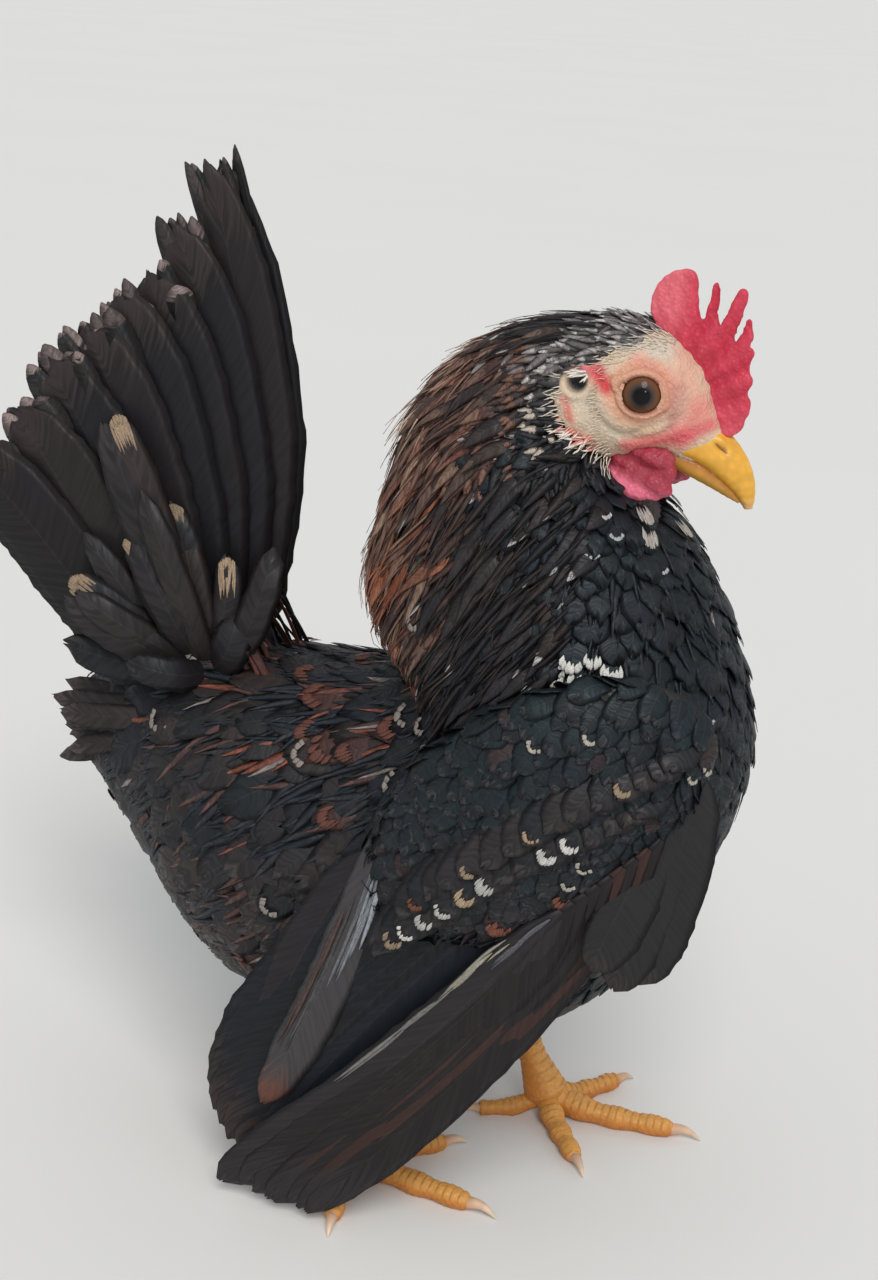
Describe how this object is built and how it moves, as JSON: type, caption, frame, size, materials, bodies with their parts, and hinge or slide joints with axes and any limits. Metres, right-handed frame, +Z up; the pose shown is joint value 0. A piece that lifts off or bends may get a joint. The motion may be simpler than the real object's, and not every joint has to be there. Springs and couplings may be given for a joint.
{
  "type": "serama chicken",
  "caption": "Life-size still model of a small bantam hen standing with tail raised, breast out and wings let down to the floor.",
  "frame": {"origin": "on the floor, below the middle of the whole bird's box", "axes": "+X forwards, towards the bill; +Y to the bird's left; +Z up"},
  "size_m": [0.1712, 0.09, 0.2135],
  "materials": {
    "plumage": "black feathers with a faint green and blue gloss",
    "hackle": "long pointed feathers, brown and copper at the back, black at the sides",
    "face": "bare and short-feathered skin, cream to pink",
    "comb": "fleshy crimson skin with a soft sheen",
    "bill": "smooth yellow horn",
    "eye": "wet orange-brown iris with a black pupil",
    "leg": "scaled yellow-orange skin",
    "claw": "pale horn"
  },
  "bodies": {
    "root": {"bill_lower": "bill", "bill_upper": "bill", "claw_left_hind": "claw", "claw_left_inner": "claw", "claw_left_middle": "claw", "claw_left_outer": "claw", "claw_right_hind": "claw", "claw_right_inner": "claw", "claw_right_middle": "claw", "claw_right_outer": "claw", "comb": "comb", "eye_left": "eye", "eye_right": "eye", "head": "face", "neck": "hackle", "shank_left": "leg", "shank_right": "leg", "tail": "plumage", "thigh_left": "plumage", "thigh_right": "plumage", "toe_left_hind": "leg", "toe_left_inner": "leg", "toe_left_middle": "leg", "toe_left_outer": "leg", "toe_right_hind": "leg", "toe_right_inner": "leg", "toe_right_middle": "leg", "toe_right_outer": "leg", "torso": "plumage", "wattle_left": "comb", "wattle_right": "comb", "wing_left": "plumage", "wing_right": "plumage"}
  },
  "joints": []
}
